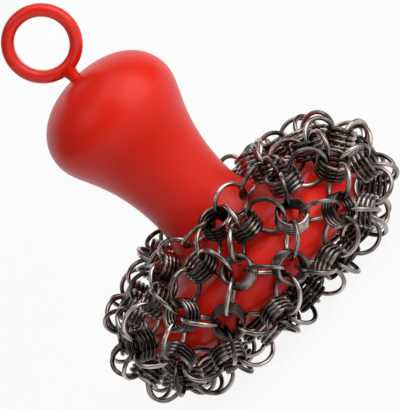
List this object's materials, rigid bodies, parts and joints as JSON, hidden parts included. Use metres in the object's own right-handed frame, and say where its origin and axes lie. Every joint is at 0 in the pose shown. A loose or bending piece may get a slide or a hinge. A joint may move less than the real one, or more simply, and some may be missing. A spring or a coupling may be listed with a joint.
{
  "type": "chain mail pot scrubber",
  "caption": "Pot scrubber with a pear-shaped red grip on a round head, wrapped in a loose bag of linked steel rings, and a ring at the top to hang it by.",
  "frame": {"origin": "on the surface that the sole stands on, under the grip's axis", "axes": "+Z along the grip's axis from the sole to the hanging ring, +Y away from the picture's camera, +X to its right"},
  "size_m": [0.1011, 0.1016, 0.1175],
  "materials": {
    "red_body": "satin",
    "red_ring": "gloss",
    "ring_steel": "polished",
    "screw_steel": "plain"
  },
  "bodies": {
    "handle": {"grip": "red_body", "head": "red_body", "tie_screw": "screw_steel", "hanging_ring": "red_ring"},
    "mail": {"neck_clusters": "ring_steel", "shoulder_clusters": "ring_steel", "upper_rim_clusters": "ring_steel", "lower_rim_clusters": "ring_steel", "heel_clusters": "ring_steel", "sole_outer_clusters": "ring_steel", "sole_inner_clusters": "ring_steel", "sole_middle_clusters": "ring_steel", "neck_ties": "ring_steel", "neck_links": "ring_steel", "shoulder_links": "ring_steel", "upper_rim_links": "ring_steel", "lower_rim_links": "ring_steel", "heel_links": "ring_steel", "sole_outer_links": "ring_steel", "sole_middle_links": "ring_steel"},
    "neck_loop_1": {"neck_loop_1": "ring_steel"},
    "neck_loop_2": {"neck_loop_2": "ring_steel"},
    "neck_loop_3": {"neck_loop_3": "ring_steel"},
    "neck_loop_4": {"neck_loop_4": "ring_steel"},
    "neck_loop_5": {"neck_loop_5": "ring_steel"},
    "neck_loop_6": {"neck_loop_6": "ring_steel"}
  },
  "joints": [
    {"name": "mail_turn", "type": "hinge", "parent": "handle", "child": "mail", "pos_m": [0, 0, 0.02058], "axis": [0, 0, 1], "continuous": true},
    {"name": "neck_loop_1_swing", "type": "hinge", "parent": "mail", "child": "neck_loop_1", "pos_m": [0.00154, -0.02084, 0.03812], "axis": [0.9437, 0.3303, 0.0163], "range_deg": [-4, 2]},
    {"name": "neck_loop_2_swing", "type": "hinge", "parent": "mail", "child": "neck_loop_2", "pos_m": [0.02034, -0.01027, 0.03758], "axis": [0.0416, 0.9936, 0.1054], "range_deg": [-10, 3]},
    {"name": "neck_loop_3_swing", "type": "hinge", "parent": "mail", "child": "neck_loop_3", "pos_m": [0.01721, 0.01188, 0.03792], "axis": [-0.7204, 0.6933, 0.016], "range_deg": [-4, 4]},
    {"name": "neck_loop_4_swing", "type": "hinge", "parent": "mail", "child": "neck_loop_4", "pos_m": [-0.00097, 0.02171, 0.03789], "axis": [-0.9261, -0.3733, 0.0557], "range_deg": [-5, 2]},
    {"name": "neck_loop_5_swing", "type": "hinge", "parent": "mail", "child": "neck_loop_5", "pos_m": [-0.01876, 0.0092, 0.03803], "axis": [-0.1889, -0.9806, 0.0514], "range_deg": [-3, 5]},
    {"name": "neck_loop_6_swing", "type": "hinge", "parent": "mail", "child": "neck_loop_6", "pos_m": [-0.01775, -0.01194, 0.03794], "axis": [0.7777, -0.6261, 0.0572], "range_deg": [-4, 2]}
  ]
}
